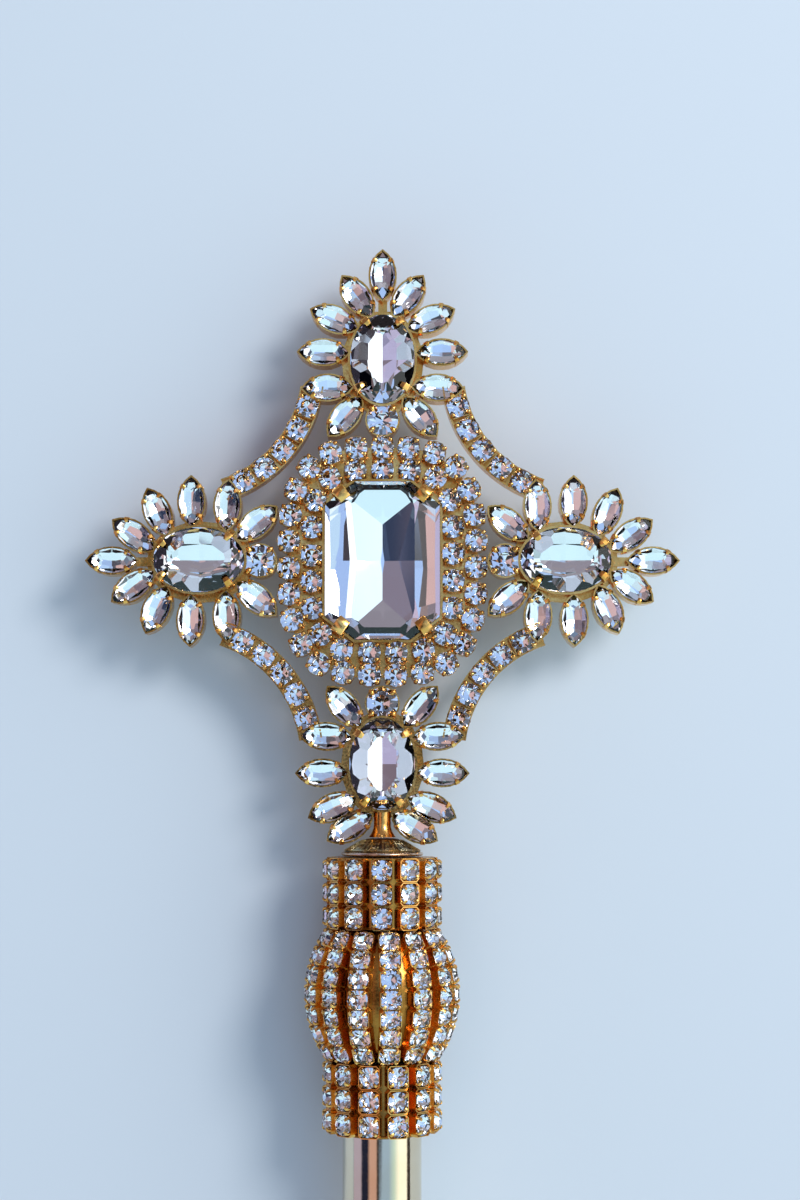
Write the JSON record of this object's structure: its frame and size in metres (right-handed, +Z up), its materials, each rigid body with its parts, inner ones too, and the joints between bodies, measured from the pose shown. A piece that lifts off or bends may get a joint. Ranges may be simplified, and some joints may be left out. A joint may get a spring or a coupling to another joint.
{
  "type": "sceptre",
  "caption": "Lying gold-plated sceptre with a cross-shaped head of set crystals, a patterned cap, a knop of stone-set strips and a polished tube with a plain pommel.",
  "frame": {"origin": "under the middle of the whole sceptre as it lies face up, on the surface that it lies on", "axes": "+Y along the sceptre towards the tip of its head, +Z up out of the face of the head, +X to the right of the head seen from above with its tip up"},
  "size_m": [0.0926, 0.5, 0.0231],
  "materials": {
    "crystal": "clear faceted glass with a mirror-foiled back",
    "plated_gold": "bright yellow gold plate over cast and brazed metal",
    "polished_tube": "mirror-polished pale champagne gold plate",
    "aged_bronze": "antiqued stamped metal, dark in the hollows and rubbed bright on the lines"
  },
  "bodies": {
    "root": {"head_frame": "plated_gold", "centre_crystal": "crystal", "oval_crystal_top": "crystal", "link_crystal_top": "crystal", "petal_top_left_1": "crystal", "petal_top_left_2": "crystal", "petal_top_left_3": "crystal", "petal_top_left_4": "crystal", "petal_top_left_5": "crystal", "petal_top_right_1": "crystal", "petal_top_right_2": "crystal", "petal_top_right_3": "crystal", "petal_top_right_4": "crystal", "petal_top_right_5": "crystal", "petal_top_tip": "crystal", "oval_crystal_left": "crystal", "link_crystal_left": "crystal", "petal_left_left_1": "crystal", "petal_left_left_2": "crystal", "petal_left_left_3": "crystal", "petal_left_left_4": "crystal", "petal_left_left_5": "crystal", "petal_left_right_1": "crystal", "petal_left_right_2": "crystal", "petal_left_right_3": "crystal", "petal_left_right_4": "crystal", "petal_left_right_5": "crystal", "petal_left_tip": "crystal", "oval_crystal_bottom": "crystal", "link_crystal_bottom": "crystal", "petal_bottom_left_1": "crystal", "petal_bottom_left_2": "crystal", "petal_bottom_left_3": "crystal", "petal_bottom_left_4": "crystal", "petal_bottom_left_5": "crystal", "petal_bottom_right_1": "crystal", "petal_bottom_right_2": "crystal", "petal_bottom_right_3": "crystal", "petal_bottom_right_4": "crystal", "petal_bottom_right_5": "crystal", "oval_crystal_right": "crystal", "link_crystal_right": "crystal", "petal_right_left_1": "crystal", "petal_right_left_2": "crystal", "petal_right_left_3": "crystal", "petal_right_left_4": "crystal", "petal_right_left_5": "crystal", "petal_right_right_1": "crystal", "petal_right_right_2": "crystal", "petal_right_right_3": "crystal", "petal_right_right_4": "crystal", "petal_right_right_5": "crystal", "petal_right_tip": "crystal", "neck_cap": "aged_bronze", "knop_upper_collar": "plated_gold", "knop_bulb": "plated_gold", "knop_lower_collar": "plated_gold", "shaft": "polished_tube", "pommel": "polished_tube"}
  },
  "joints": []
}
